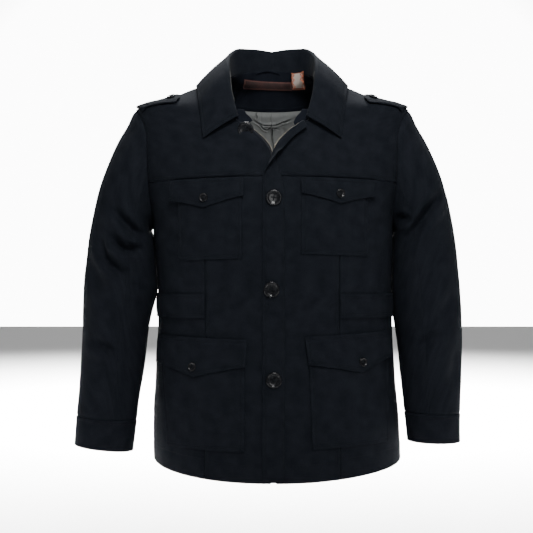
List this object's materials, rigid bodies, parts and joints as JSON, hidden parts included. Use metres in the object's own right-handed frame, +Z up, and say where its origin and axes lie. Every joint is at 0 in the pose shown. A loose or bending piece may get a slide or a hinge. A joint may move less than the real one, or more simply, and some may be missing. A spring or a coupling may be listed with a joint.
{
  "type": "car coat",
  "caption": "Thigh-length car coat in dark wool cloth with a turned-down collar, a hidden zip under a buttoned band, flap pockets, epaulets and half belts, standing hollow.",
  "frame": {"origin": "middle of the neck opening at the height of the shoulders' neck points, where the wearer's shoulders and neck carry the coat", "axes": "+Z up, -Y out of the coat's front, +X towards the wearer's left"},
  "size_m": [0.7044, 0.3126, 0.7913],
  "materials": {
    "wool": "blue-black melton wool twill, softly brushed",
    "lining": "grey twill lining with a slight sheen",
    "button": "dark polished buttons with a raised rim",
    "zip_metal": "metal zip teeth on a dark tape",
    "label": "bare woven label, dark red",
    "size_label": "bare folded label, cream"
  },
  "bodies": {
    "root": {"back": "wool", "belt_left": "wool", "belt_right": "wool", "button_chest_left": "button", "button_chest_right": "button", "button_epaulet_left": "button", "button_epaulet_right": "button", "button_front_1": "button", "button_front_2": "button", "button_front_3": "button", "button_front_4": "button", "button_lower_left": "button", "button_lower_right": "button", "chest_flap_left": "wool", "chest_flap_right": "wool", "chest_pocket_left": "wool", "chest_pocket_right": "wool", "collar": "wool", "cuff_left": "wool", "cuff_right": "wool", "epaulet_left": "wool", "epaulet_right": "wool", "front_left": "wool", "front_right": "wool", "lining_back": "lining", "lower_flap_left": "wool", "lower_flap_right": "wool", "lower_pocket_left": "wool", "lower_pocket_right": "wool", "neck_facing": "wool", "neck_label": "label", "placket": "wool", "side_left": "wool", "side_right": "wool", "size_label": "size_label", "sleeve_top_left": "wool", "sleeve_top_right": "wool", "sleeve_under_left": "wool", "sleeve_under_right": "wool", "yoke_left": "wool", "yoke_right": "wool", "zip_left": "zip_metal", "zip_right": "zip_metal"}
  },
  "joints": []
}
